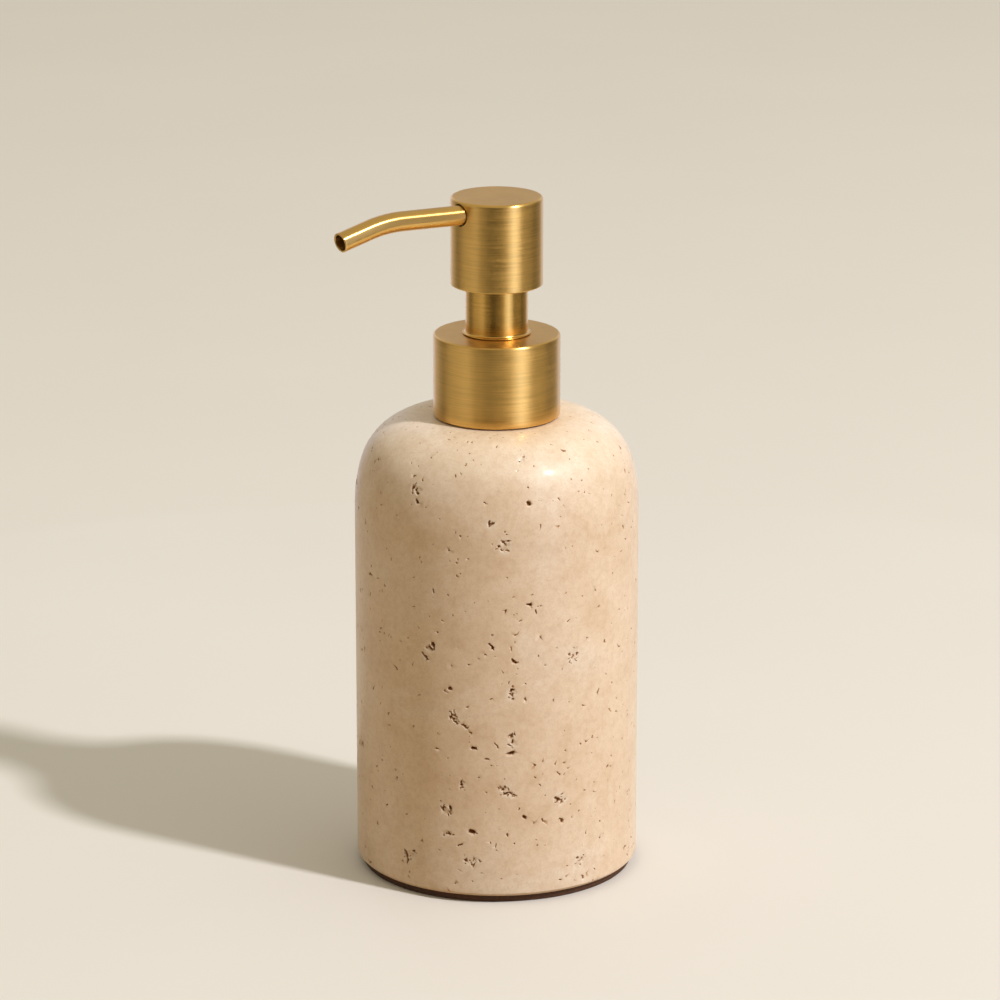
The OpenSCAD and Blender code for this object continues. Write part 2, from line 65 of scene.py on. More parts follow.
# Key light: its direction, to the right of the camera and above the table
KEY_AZIMUTH = math.radians(58)
KEY_ELEVATION = math.radians(46)
KEY_DISTANCE = 3.2
KEY_SIZE = 0.22
KEY_POWER = 76
KEY_COLOUR = (1, 0.975, 1)

# Soft light of the studio: the colour overhead and the heights where it starts and is full
# (0 level, 1 straight up), then degrees to the right of the camera with the colour there
OVERHEAD = (0.58, 0.525, 0.385)
OVERHEAD_RANGE = (0.3, 0.75)
STUDIO_RING = [
    (-180, (0.42, 0.38, 0.33)),
    (-135, (0.75, 0.71, 0.64)),
    (-100, (0.48, 0.44, 0.37)),
    (-64, (0.12, 0.08, 0.04)),
    (-20, (0.04, 0.022, 0.008)),
    (20, (0.24, 0.20, 0.15)),
    (60, (0.82, 0.80, 0.74)),
    (115, (0.78, 0.76, 0.70)),
    (180, (0.42, 0.38, 0.33)),
]
BACKDROP_COLOUR = (0.76, 0.71, 0.63)
FLOOR_COLOUR = (0.78, 0.755, 0.715)
# What the floor throws back on the object
BOUNCE_COLOUR = (0.44, 0.29, 0.14)
FLOOR_SIZE = 12

# Ring of cards that only reflections see: its size, and degrees to the right of the camera
# with the brightness there. Dim cards are warm and bright ones are cool.
CARD_RADIUS = 0.34
CARD_HEIGHT = 0.36
CARD_STEPS = 144
CARD_WARM = (1.0, 0.87, 0.62)
CARD_COOL = (1.0, 1.17, 1.9)
CARD_BRIGHT = 1.4
CARDS = [
    (-180, 0.50),
    (-158, 0.86),
    (-136, 0.50),
    (-112, 0.20),
    (-80, 0.46),
    (-54, 0.58),
    (-34, 0.22),
    (-14, 0.05),
    (8, 0.14),
    (22, 0.34),
    (34, 0.95),
    (44, 1.32),
    (54, 0.95),
    (66, 0.24),
    (88, 0.26),
    (106, 0.14),
    (126, 0.26),
    (152, 0.80),
    (180, 0.50),
]

# Brass, and the clear lacquer on it
SATIN = (0.75, 0.465, 0.13)
POLISHED = (0.75, 0.44, 0.10)
LACQUER = 0.3
LACQUER_ROUGHNESS = 0.28
# Faces that look up more than this have no brush marks
TOP_SLOPE = 0.9
# The spout's map, whose first direction runs round the tube
TUBE_MAP = "round_the_tube"
# Turns an anisotropic highlight from along the tangent to across it
QUARTER_TURN = 0.25

# Brush marks: waves per radian round the axis and per metre across it, the part of the noise
# that they use, and how much they change the colour, the roughness and the height
COARSE_MARKS = (1.2, 3000.0)
FINE_MARKS = (2.6, 6500.0)
MARK_RANGE = (0.36, 0.64)
MARK_TINT = 0.07
MARK_DULL = 0.15
MARK_DEPTH = 0.003 * MM

# Stone: its colour over the large clouds, what the mottle and the flecks multiply it by, and
# what the depth of a pit does: the pits' brown, with painted shade that darkens them as they deepen
STONE_CLOUDS = [
    (0.36, (0.82, 0.655, 0.485)),
    (0.5, (0.87, 0.72, 0.555)),
    (0.64, (0.885, 0.755, 0.61)),
]
STONE_MOTTLE = [(0.34, (0.95, 0.93, 0.90)), (0.5, (1.0, 1.0, 1.0)), (0.66, (1.02, 1.035, 1.05))]
STONE_FLECKS = [(0.36, (0.95, 0.935, 0.915)), (0.5, (1.0, 1.0, 1.0)), (0.66, (1.025, 1.04, 1.06))]
# Pits are brown, and made darker still by painted shade inside them
PIT_BROWN_AND_SHADE = [
    (0.0, (1, 1, 1)),
    (0.2, (0.74, 0.60, 0.46)),
    (0.55, (0.42, 0.26, 0.15)),
    (1.0, (0.18, 0.085, 0.04)),
]
CRUMB_COLOUR = (0.90, 0.81, 0.69)
GRAIN_COLOUR = (0.50, 0.34, 0.21)
# Dark brown of the tiny pores, with their painted shade
SPECK_BROWN_AND_SHADE = (0.27, 0.15, 0.075)

# The pad's brown, made darker than the board itself as painted shade under the stone's edge
PAD_FIBRES_AND_SHADE = [(0.35, (0.045, 0.018, 0.007)), (0.65, (0.13, 0.054, 0.021))]
PAD_CLOUD_AND_SHADE = (0.07, 0.03, 0.012)

# Edges sharper than this many degrees stay sharp
SHARP_EDGE = 30


def set_inputs(tree, made, inputs):
    """Sets a node's inputs, by name or number, to values or to other nodes' outputs."""
    for name, value in inputs.items():
        if isinstance(value, bpy.types.NodeSocket):
            tree.links.new(value, made.inputs[name])
        else:
            made.inputs[name].default_value = value


def node(tree, kind, inputs=None, **settings):
    """A new shader node with its inputs and settings."""
    made = tree.nodes.new(kind)
    for name, value in settings.items():
        setattr(made, name, value)
    set_inputs(tree, made, inputs or {})
    return made


def maths(tree, operation, *values):
    """The result of a Math node."""
    return node(tree, "ShaderNodeMath", dict(enumerate(values)), operation=operation).outputs[0]


def vector_maths(tree, operation, inputs, output=0):
    """The result of a Vector Math node."""
    return node(tree, "ShaderNodeVectorMath", inputs, operation=operation).outputs[output]


def ramp(tree, value, stops, interpolation="LINEAR"):
    """The colour of a Color Ramp at value. The stops are (position, colour)."""
    made = node(tree, "ShaderNodeValToRGB", {0: value})
    made.color_ramp.interpolation = interpolation
    elements = made.color_ramp.elements
    while len(elements) < len(stops):
        elements.new(0.5)
    for element, (position, colour) in zip(elements, stops):
        element.position = position
        element.color = (*colour, 1)
    return made.outputs[0]


def mix(tree, factor, first, second, blend="MIX"):
    """A Mix node between two colours."""
    inputs = {0: factor, 6: first, 7: second}
    return node(tree, "ShaderNodeMix", inputs, data_type="RGBA", blend_type=blend).outputs[2]


def span(tree, value, low, high, to_low, to_high):
    """A Map Range node, which takes low to to_low and high to to_high."""
    inputs = dict(enumerate((value, low, high, to_low, to_high)))
    return node(tree, "ShaderNodeMapRange", inputs).outputs[0]


def noise_texture(tree, vector, scale, detail=2.0, roughness=0.5):
    """A Noise Texture's value. The scale is in waves per metre."""
    inputs = {"Vector": vector, "Scale": scale, "Detail": detail, "Roughness": roughness}
    return node(tree, "ShaderNodeTexNoise", inputs).outputs["Fac"]


def new_material(name):
    """A material with a Principled surface, its tree, the shader and object coordinates."""
    material = bpy.data.materials.new(name)
    material.use_nodes = True
    tree = material.node_tree
    shader = tree.nodes["Principled BSDF"]
    place = node(tree, "ShaderNodeTexCoord").outputs["Object"]
    return material, tree, shader, place


def bump(tree, height, distance, strength=1.0, normal=None):
    """A Bump node's normal, on top of another bump's if one is given. The distance is in metres."""
    inputs = {"Height": height, "Distance": distance, "Strength": strength}
    if normal is not None:
        inputs["Normal"] = normal
    return node(tree, "ShaderNodeBump", inputs).outputs[0]


def turned_place(tree, place, along, across):
    """Coordinates that are long round the pump axis and short across it, for lathe marks."""
    parts = node(tree, "ShaderNodeSeparateXYZ", {0: place}).outputs
    flat = node(tree, "ShaderNodeCombineXYZ", {0: parts[0], 1: parts[1]}).outputs[0]
    radius = vector_maths(tree, "LENGTH", {0: flat}, "Value")
    way = vector_maths(tree, "NORMALIZE", {0: flat})
    round_it = vector_maths(tree, "SCALE", {0: way, "Scale": along})
    height = maths(tree, "MULTIPLY", maths(tree, "ADD", parts[2], radius), across)
    rise = node(tree, "ShaderNodeCombineXYZ", {2: height}).outputs[0]
    return vector_maths(tree, "ADD", {0: round_it, 1: rise})


def brushed_brass(name, colour, roughness, anisotropy, mark):
    """Lacquered brass with fine marks round the axis. mark is how strong they are."""
    material, tree, shader, place = new_material(name)
    coarse = noise_texture(tree, turned_place(tree, place, *COARSE_MARKS), 1.0, 0.0)
    fine = noise_texture(tree, turned_place(tree, place, *FINE_MARKS), 1.0, 0.0)
    coarse, fine = maths(tree, "MULTIPLY", coarse, 0.6), maths(tree, "MULTIPLY", fine, 0.4)
    lines = maths(tree, "ADD", coarse, fine)
    tint, dull = MARK_TINT * mark, MARK_DULL * mark
    tone = span(tree, lines, *MARK_RANGE, 1 - tint, 1 + tint)
    shade = span(tree, noise_texture(tree, place, 90.0, 3.0, 0.6), 0.3, 0.7, 0.97, 1.03)
    level = maths(tree, "MULTIPLY", tone, shade)
    grey = node(tree, "ShaderNodeCombineColor", {0: level, 1: level, 2: level}).outputs[0]
    surface = {
        "Metallic": 1,
        "Anisotropic": anisotropy,
        "Anisotropic Rotation": QUARTER_TURN,
        "Coat Weight": LACQUER,
        "Coat Roughness": LACQUER_ROUGHNESS,
        "Tangent": node(tree, "ShaderNodeTangent", direction_type="RADIAL", axis="Z").outputs[0],
        "Base Color": mix(tree, 1.0, (*colour, 1), grey, "MULTIPLY"),
        "Roughness": span(
            tree, lines, *MARK_RANGE, roughness * (1 - dull), roughness * (1 + dull)
        ),
        "Normal": bump(tree, lines, MARK_DEPTH, mark),
    }
    set_inputs(tree, shader, surface)
    return material


def plain_metal(name, colour, roughness, scratch=0.15, lacquer=0.0, grain=1.0):
    """A smooth metal with faint wear. scratch is for its gloss, and grain for its bump."""
    material, tree, shader, place = new_material(name)
    wear = noise_texture(tree, place, 700.0, 4.0, 0.65)
    cloud = noise_texture(tree, place, 120.0, 2.0, 0.5)
    dark, light = [c * 0.94 for c in colour], [min(1, c * 1.04) for c in colour]
    least, most = roughness * (1 - scratch), roughness * (1 + scratch)
    surface = {
        "Metallic": 1,
        "Coat Weight": lacquer,
        "Coat Roughness": LACQUER_ROUGHNESS,
        "Base Color": ramp(tree, cloud, [(0.3, dark), (0.7, light)]),
        "Roughness": span(tree, wear, 0.3, 0.7, least, most),
        "Normal": bump(tree, wear, 0.0008 * MM * grain, 0.5),
    }
    set_inputs(tree, shader, surface)
    return material


def turned_tube(name, colour, roughness, anisotropy):
    """Brass polished round the tube, which draws its highlights out along it."""
    material = plain_metal(name, colour, roughness, 0.06, LACQUER, 0.15)
    tree = material.node_tree
    tangent = node(tree, "ShaderNodeTangent", direction_type="UV_MAP", uv_map=TUBE_MAP)
    surface = {
        "Anisotropic": anisotropy,
        "Anisotropic Rotation": QUARTER_TURN,
        "Tangent": tangent.outputs[0],
    }
    set_inputs(tree, tree.nodes["Principled BSDF"], surface)
    return material


def plastic(name, colour, roughness, clear=0.0, grain=1.0):
    """Moulded plastic with a fine mould grain. clear is how much light passes through."""
    material, tree, shader, place = new_material(name)
    fine = noise_texture(tree, place, 2600.0, 3.0, 0.6)
    cloud = noise_texture(tree, place, 140.0, 2.0, 0.5)
    surface = {
        "Transmission Weight": clear,
        "IOR": 1.5,
        "Base Color": ramp(tree, cloud, [(0.3, [c * 0.95 for c in colour]), (0.7, colour)]),
        "Roughness": span(tree, fine, 0.3, 0.7, roughness * 0.85, roughness * 1.15),
        "Normal": bump(tree, fine, 0.008 * MM * grain, 0.6),
    }
    set_inputs(tree, shader, surface)
    return material


def travertine():
    """Honed travertine: cloudy beige, tiny specks with painted shade, and brown with painted shade
    inside the pits of the mesh.
    """
    material, tree, shader, place = new_material("travertine")
    pit = node(tree, "ShaderNodeAttribute", attribute_name="pit").outputs["Fac"]
    fill = node(tree, "ShaderNodeAttribute", attribute_name="fill").outputs["Fac"]
    warp = node(tree, "ShaderNodeTexNoise", {"Vector": place, "Scale": 60.0, "Detail": 2.0})
    drift = vector_maths(tree, "SCALE", {0: warp.outputs["Color"], "Scale": 0.012})
    drift = vector_maths(tree, "ADD", {0: place, 1: drift})
    clouds = noise_texture(tree, drift, 36.0, 3.0, 0.55)
    mottle = noise_texture(tree, drift, 170.0, 3.0, 0.55)
    flecks = noise_texture(tree, place, 620.0, 3.0, 0.6)
    grain = noise_texture(tree, place, 2000.0, 2.0, 0.6)
    body = ramp(tree, clouds, STONE_CLOUDS)
    body = mix(tree, 1.0, body, ramp(tree, mottle, STONE_MOTTLE), "MULTIPLY")
    body = mix(tree, 1.0, body, ramp(tree, flecks, STONE_FLECKS), "MULTIPLY")
    patchy = maths(tree, "MULTIPLY", fill, span(tree, flecks, 0.38, 0.56, 0.2, 0.9))
    body = mix(tree, patchy, body, (*CRUMB_COLOUR, 1))
    body = mix(tree, span(tree, grain, 0.42, 0.68, 0.0, 0.16), body, (*GRAIN_COLOUR, 1))
    # Specks too small for the mesh: tiny pores in the stone's brown, darkened with painted shade
    cells = node(tree, "ShaderNodeTexVoronoi", {"Vector": place, "Scale": 330.0, "Randomness": 1.0})
    reach = span(tree, noise_texture(tree, place, 95.0, 2.0, 0.5), 0.50, 0.72, 0.0, 0.10)
    inside = maths(tree, "SUBTRACT", reach, cells.outputs["Distance"])
    speck = span(tree, inside, 0.0, 0.05, 0.0, 1.0)
    body = mix(tree, maths(tree, "MULTIPLY", speck, 0.8), body, (*SPECK_BROWN_AND_SHADE, 1))
    # The pits' brown, darkened further by painted shade where they look deep
    body = mix(tree, 1.0, body, ramp(tree, pit, PIT_BROWN_AND_SHADE), "MULTIPLY")
    hollow = maths(tree, "MINIMUM", maths(tree, "ADD", pit, speck), 1.0)
    polish = span(tree, mottle, 0.35, 0.65, 0.36, 0.46)
    swell = bump(tree, noise_texture(tree, place, 130.0, 2.0, 0.5), 0.05 * MM, 0.5)
    surface = {
        "Base Color": body,
        "Roughness": maths(tree, "ADD", polish, maths(tree, "MULTIPLY", hollow, 0.5)),
        "Specular IOR Level": 0.32,
        "Coat Weight": span(tree, hollow, 0.0, 0.4, 0.2, 0.0),
        "Coat Roughness": 0.1,
        "Normal": bump(tree, maths(tree, "SUBTRACT", grain, speck), 0.02 * MM, 0.5, swell),
    }
    set_inputs(tree, shader, surface)
    return material


def pad_material():
    """Brown fibre-board foot pad, darkened with painted shade from the stone above it."""
    material, tree, shader, place = new_material("brown_pad")
    fibres = noise_texture(tree, place, 900.0, 5.0, 0.7)
    cloud = noise_texture(tree, place, 150.0, 3.0, 0.6)
    tone = ramp(tree, fibres, PAD_FIBRES_AND_SHADE)
    surface = {
        "Base Color": mix(tree, span(tree, cloud, 0.3, 0.7, 0.0, 0.4), tone, (*PAD_CLOUD_AND_SHADE, 1)),
        "Roughness": span(tree, fibres, 0.3, 0.7, 0.7, 0.92),
        "Normal": bump(tree, fibres, 0.08 * MM, 0.8),
    }
    set_inputs(tree, shader, surface)
    return material


def add_object(name, data):
    """A new object in the scene."""
    made = bpy.data.objects.new(name, data)
    bpy.context.scene.collection.objects.link(made)
    return made


def arc(x, z, r, start, end, steps):
    """Points round a circle from one angle to another, in degrees, ends included."""
    angles = np.radians(np.linspace(start, end, steps + 1))
    return [(x + r * math.cos(a), z + r * math.sin(a)) for a in angles]


def close_points(outline, gap):
    """The closed outline with extra points so that none are further apart than gap."""
    made = []
    for (x0, z0), (x1, z1) in zip(outline, outline[1:] + outline[:1]):
        steps = max(1, math.ceil(math.hypot(x1 - x0, z1 - z0) / gap))
        made += [(x0 + (x1 - x0) * i / steps, z0 + (z1 - z0) * i / steps) for i in range(steps)]
    return made


def smooth(mesh, sharp=SHARP_EDGE):
    """Shades a mesh smooth but for edges sharper than the angle."""
    mesh.shade_smooth()
    mesh.set_sharp_from_angle(angle=math.radians(sharp))


def piece(name, vertices, faces, body, slot, replaced, sharp=SHARP_EDGE):
    """A smooth mesh object in the frame that rides on a body."""
    mesh = bpy.data.meshes.new(name)
    mesh.from_pydata(vertices, [], faces)
    mesh.validate()
    smooth(mesh, sharp)
    made = add_object(name, mesh)
    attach(made, body)
    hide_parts(replaced)
    return made


def lathe(outline, segments):
    """A closed outline of (radius, height) turned about Z. Points on the axis become one vertex."""
    vertices, rings = [], []
    for x, z in outline:
        if x < 1e-9:
            rings.append([len(vertices)] * segments)
            vertices.append((0, 0, z))
        else:
            first = len(vertices)
            rings.append([first + i for i in range(segments)])
            turn = [2 * math.pi * i / segments for i in range(segments)]
            vertices += [(x * math.cos(a), x * math.sin(a), z) for a in turn]
    faces = []
    for low, high in zip(rings, rings[1:] + rings[:1]):
        for i in range(segments):
            j = (i + 1) % segments
            corners = [low[i], low[j], high[j], high[i]]
            corners = [c for k, c in enumerate(corners) if c != corners[k - 1]]
            if len(corners) > 2:
                faces.append(corners)
    return vertices, faces


def turned_part(name, outline, body, slot, gap, segments):
    """A turned piece that replaces the CAD node of its name. The outline runs anticlockwise."""
    vertices, faces = lathe(close_points(outline, gap), segments)
    return piece(name + "_turned", vertices, faces, body, slot, name)


# ---------------------------------------------------------------- frame, camera, light

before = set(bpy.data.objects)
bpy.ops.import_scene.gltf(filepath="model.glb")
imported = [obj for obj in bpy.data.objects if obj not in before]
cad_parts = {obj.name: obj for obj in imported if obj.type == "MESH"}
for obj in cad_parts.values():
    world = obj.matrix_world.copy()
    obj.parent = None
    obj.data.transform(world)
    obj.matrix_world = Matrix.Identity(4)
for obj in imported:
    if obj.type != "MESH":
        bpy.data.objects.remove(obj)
cad_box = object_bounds()
middle = Vector((0, 0, sum(corner.z for corner in cad_box) / 2))


def make_camera():
    camera = add_object("camera", bpy.data.cameras.new("camera"))
    camera.data.lens = CAMERA_LENS
    camera.data.clip_start = 0.05
    across = Vector((math.sin(VIEW_AZIMUTH), -math.cos(VIEW_AZIMUTH), 0)) * CAMERA_DISTANCE
    camera.location = across + Vector((0, 0, CAMERA_HEIGHT))
    camera.rotation_euler = (math.pi / 2 - CAMERA_PITCH, 0, VIEW_AZIMUTH - CAMERA_PAN)
    bpy.context.scene.camera = camera


def make_key_light():
    key = add_object("key_light", bpy.data.lights.new("key_light", "AREA"))
    key.data.shape = "DISK"
    key.data.size = KEY_SIZE
    key.data.energy = KEY_POWER
    key.data.color = KEY_COLOUR
    bearing = VIEW_AZIMUTH - math.pi / 2 + KEY_AZIMUTH
    level = math.cos(KEY_ELEVATION)
    way = Vector((level * math.cos(bearing), level * math.sin(bearing), math.sin(KEY_ELEVATION)))
    key.location = middle + way * KEY_DISTANCE
    key.rotation_euler = way.to_track_quat("Z", "Y").to_euler()


def bearing_ramp(tree, place, ring):
    """The colour of a ring of (degrees to the right of the camera, colour) in a direction."""
    parts = node(tree, "ShaderNodeSeparateXYZ", {0: place}).outputs
    angle = maths(tree, "DIVIDE", maths(tree, "ARCTAN2", parts[1], parts[0]), 2 * math.pi)
    offset = 1.5 + (math.pi / 2 - VIEW_AZIMUTH) / (2 * math.pi)
    angle = maths(tree, "FRACT", maths(tree, "ADD", angle, offset))
    return ramp(tree, angle, [((degrees + 180) / 360, colour) for degrees, colour in ring], "EASE")


def make_studio():
    """Soft light from all round and above, and a plain colour behind the object."""
    world = bpy.data.worlds.new("studio")
    bpy.context.scene.world = world
    world.use_nodes = True
    tree = world.node_tree
    way = node(tree, "ShaderNodeTexCoord").outputs["Generated"]
    height = node(tree, "ShaderNodeSeparateXYZ", {0: way}).outputs[2]
    above = span(tree, height, *OVERHEAD_RANGE, 0.0, 1.0)
    light = mix(tree, above, bearing_ramp(tree, way, STUDIO_RING), (*OVERHEAD, 1))
    seen = node(tree, "ShaderNodeLightPath").outputs["Is Camera Ray"]
    colour = mix(tree, seen, light, (*BACKDROP_COLOUR, 1))
    set_inputs(tree, tree.nodes["Background"], {"Color": colour})


def make_cards():
    """Light and dark cards round the object that show only in its reflections."""
    steps = CARD_STEPS
    turn = [2 * math.pi * i / steps for i in range(steps)]
    low = [(CARD_RADIUS * math.cos(a), CARD_RADIUS * math.sin(a), 0) for a in turn]
    high = [(x, y, CARD_HEIGHT) for x, y, _ in low]
    faces = [(i, (i + 1) % steps, steps + (i + 1) % steps, steps + i) for i in range(steps)]
    mesh = bpy.data.meshes.new("cards")
    mesh.from_pydata(low + high, [], faces)
    cards = add_object("cards", mesh)
    material = bpy.data.materials.new("cards")
    material.use_nodes = True
    tree = material.node_tree
    place = node(tree, "ShaderNodeTexCoord").outputs["Object"]
    ring = []
    for degrees, level in CARDS:
        cool = (level / CARD_BRIGHT) ** 2
        colour = [level * (a + (b - a) * cool) for a, b in zip(CARD_WARM, CARD_COOL)]
        ring.append((degrees, colour))
    glow = node(tree, "ShaderNodeEmission", {"Color": bearing_ramp(tree, place, ring)})
    set_inputs(tree, tree.nodes["Material Output"], {"Surface": glow.outputs[0]})
    mesh.materials.append(material)
    for ray in ("camera", "diffuse", "transmission", "volume_scatter", "shadow"):
        setattr(cards, "visible_" + ray, False)


def make_floor():
    half = FLOOR_SIZE / 2
    mesh = bpy.data.meshes.new("floor")
    corners = [(-half, -half, 0), (half, -half, 0), (half, half, 0), (-half, half, 0)]
    mesh.from_pydata(corners, [], [(0, 1, 2, 3)])
    floor = add_object("floor", mesh)
    material, tree, shader, place = new_material("floor")
    cloud = noise_texture(tree, place, 9.0, 3.0, 0.5)
    tone = ramp(tree, cloud, [(0.3, [c * 0.985 for c in FLOOR_COLOUR]), (0.7, FLOOR_COLOUR)])
    bounced = node(tree, "ShaderNodeLightPath").outputs["Is Diffuse Ray"]
    colour = mix(tree, bounced, tone, (*BOUNCE_COLOUR, 1))
    set_inputs(tree, shader, {"Base Color": colour, "Roughness": 0.7})
    floor.data.materials.append(material)


make_camera()
make_key_light()
make_studio()
make_cards()
make_floor()
bpy.context.scene.view_settings.view_transform = "Standard"

# ---------------------------------------------------------------- stone

STONE_LOW, STONE_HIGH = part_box("stone_body")
# Its outside
SHOULDER_R = 16.5 * MM
FLANK_R = 42 * MM
FLANK_ANGLE = math.radians(17)
FOOT_CHAMFER = 0.8 * MM
# Its inside in mm: the mouth, the reservoir with its rounded top, and the step for the plug
MOUTH_R = 14
CAVITY_R, CAVITY_TOP, CAVITY_CORNER = 29, 113, 9
LEDGE_R, LEDGE_Z = 32, 8
# Steps in the arcs of its outline
FLANK_STEPS, SHOULDER_STEPS, CORNER_STEPS = 24, 60, 12

# The grid that its mesh starts from, and how much coarser it is inside
CELL = 1.3 * MM
INSIDE_CELLS = 2.5
# Near a pit the longest edge, in mm, is a share of the pit's half width, kept between two
# limits. It grows with the distance from the pit's rim.
EDGE_SHARE, EDGE_LEAST, EDGE_MOST = 0.55, 0.12, 0.3
EDGE_GROWTH, RIM_SHARE, EDGE_SLACK = 0.8, 0.3, 1.35
REFINE_ROUNDS = 7
FAR = 1e3
# Two noises that make the pits' outlines ragged: waves per mm and reach in mm
RAGGED, RAGGED_FINE = (1.2, 0.34), (3.7, 0.11)
# The bake's map: the share of its height for the outside, and its margin
OUTSIDE_SHARE, BAKE_MARGIN = 0.86, 0.002

PIT_SEED = 7

# Crevices and crumbled patches on the side that faces the camera: degrees to its right,
# height above the table in mm, spread in mm and number of pits
PATCHES = [
    (-17, 51, 1.9, 16),
    (4, 31, 2.4, 13),
    (26, 28, 2.2, 11),
    (-10, 12, 2.2, 11),
    (-38, 11, 2.6, 11),
    (32, 67, 2.6, 12),
    (6, 58, 1.8, 7),
    (6, 45, 2.2, 7),
    (-28, 69, 1.6, 5),
    (-21, 25, 2.0, 6),
    (-35, 111, 2.2, 6),
    (3, 98, 2.2, 8),
    (35, 9, 2.6, 7),
    (-20, 19, 1.8, 6),
    (-14, 33, 1.4, 4),
    (-3, 104, 1.2, 3),
    (12, 119, 1.4, 3),
]
# Long crevices on the same side: degrees, height, length in mm, half width in mm and
# the angle that each leans at
CREVICES = [
    (-30, 67, 1.9, 0.42, -45),
    (-26, 70, 1.8, 0.34, -65),
    (-2, 71, 1.9, 0.30, -60),
    (7, 67, 1.2, 0.36, -50),
    (13, 82, 1.1, 0.44, -15),
    (13, 109, 0.7, 0.46, -50),
    (-3, 104, 1.4, 0.30, -88),
    (-19, 59, 0.7, 0.42, 15),
    (-13, 49, 0.9, 0.44, -30),
    (6, 59, 0.8, 0.42, 5),
    (6, 42, 0.5, 0.52, 30),
    (-9, 43, 1.2, 0.36, -20),
    (0, 44, 1.3, 0.30, -50),
    (-10, 20, 0.9, 0.62, -10),
    (27, 22, 0.8, 0.42, -50),
    (25, 28, 1.3, 0.44, -25),
    (-22, 26, 1.1, 0.34, 85),
    (-19, 26, 1.1, 0.34, -85),
    (-39, 10, 2.6, 0.34, -80),
    (-15, 16, 1.1, 0.30, 30),
    (45, 55, 1.2, 0.34, 80),
    (36, 120, 1.0, 0.34, -35),
    (-34, 108, 0.8, 0.34, -60),
    (11, 24, 0.5, 0.44, -60),
    (37, 5, 0.6, 0.40, -50),
]
# How many patches and crevices the far side has, and small and tiny pits all round
BACK_PATCHES, BACK_CREVICES, SMALL_PITS, TINY_PITS = 22, 75, 130, 820


def stone_outline():
    """The stone's closed outline of (radius, height) in mm, how many of its points are outside,
    and the points that rows of the mesh pass through."""
    r = STONE_HIGH.x / MM
    low, top = STONE_LOW.z / MM, STONE_HIGH.z / MM
    turn = math.degrees(FLANK_ANGLE)
    shoulder, flank, chamfer = SHOULDER_R / MM, FLANK_R / MM, FOOT_CHAMFER / MM
    shoulder_x = r - flank + (flank - shoulder) * math.cos(FLANK_ANGLE)
    shoulder_z = top - shoulder
    flank_z = shoulder_z - (flank - shoulder) * math.sin(FLANK_ANGLE)
    outside = [(r - chamfer, low), (r, low + chamfer)]
    outside += arc(r - flank, flank_z, flank, 0, turn, FLANK_STEPS)
    outside += arc(shoulder_x, shoulder_z, shoulder, turn, 90, SHOULDER_STEPS)[1:]
    outside += [(MOUTH_R, top)]
    corner_x, corner_z = CAVITY_R - CAVITY_CORNER, CAVITY_TOP - CAVITY_CORNER
    inside = [(MOUTH_R, CAVITY_TOP)]
    inside += arc(corner_x, corner_z, CAVITY_CORNER, 90, 0, CORNER_STEPS)
    inside += [(CAVITY_R, LEDGE_Z), (LEDGE_R, LEDGE_Z), (LEDGE_R, low)]
    # Ends of the chamfer and the flank, the mouth's edges, the end of the rounded corner, the
    # ledge and the outline's end. The corner at the ledge's foot, under the pad, is left out.
    mouth = len(outside) - 1
    ledge = mouth + 2 + CORNER_STEPS
    rows = [0, 1, 2, 2 + FLANK_STEPS, mouth, mouth + 1, ledge, ledge + 1, ledge + 2]
    return outside + inside, len(outside), rows + [len(outside + inside)]


class Profile:
    """A closed outline that can be looked up by the distance along it, in mm."""

    def __init__(self, outline, outside_points):
        points = np.array(outline + outline[:1], float)
        steps = np.diff(points, axis=0)
        self.at = np.concatenate([[0], np.cumsum(np.hypot(*steps.T))])
        self.points = points
        self.radius = points[1, 0]
        self.length = self.at[-1]
        self.outside = self.at[outside_points - 1]

    def place(self, s):
        return np.stack([np.interp(s, self.at, self.points[:, i]) for i in (0, 1)], -1)

    def normal(self, s, lean=0.02):
        """The outward normal, over a short stretch that leans one way or the other."""
        ahead, behind = s + np.maximum(lean, 0) + 0.01, s + np.minimum(lean, 0) - 0.01
        way = self.place(np.clip(ahead, 0, self.length))
        way -= self.place(np.clip(behind, 0, self.length))
        way /= np.maximum(np.linalg.norm(way, axis=-1, keepdims=True), 1e-12)
        return np.stack([way[..., 1], -way[..., 0]], -1)


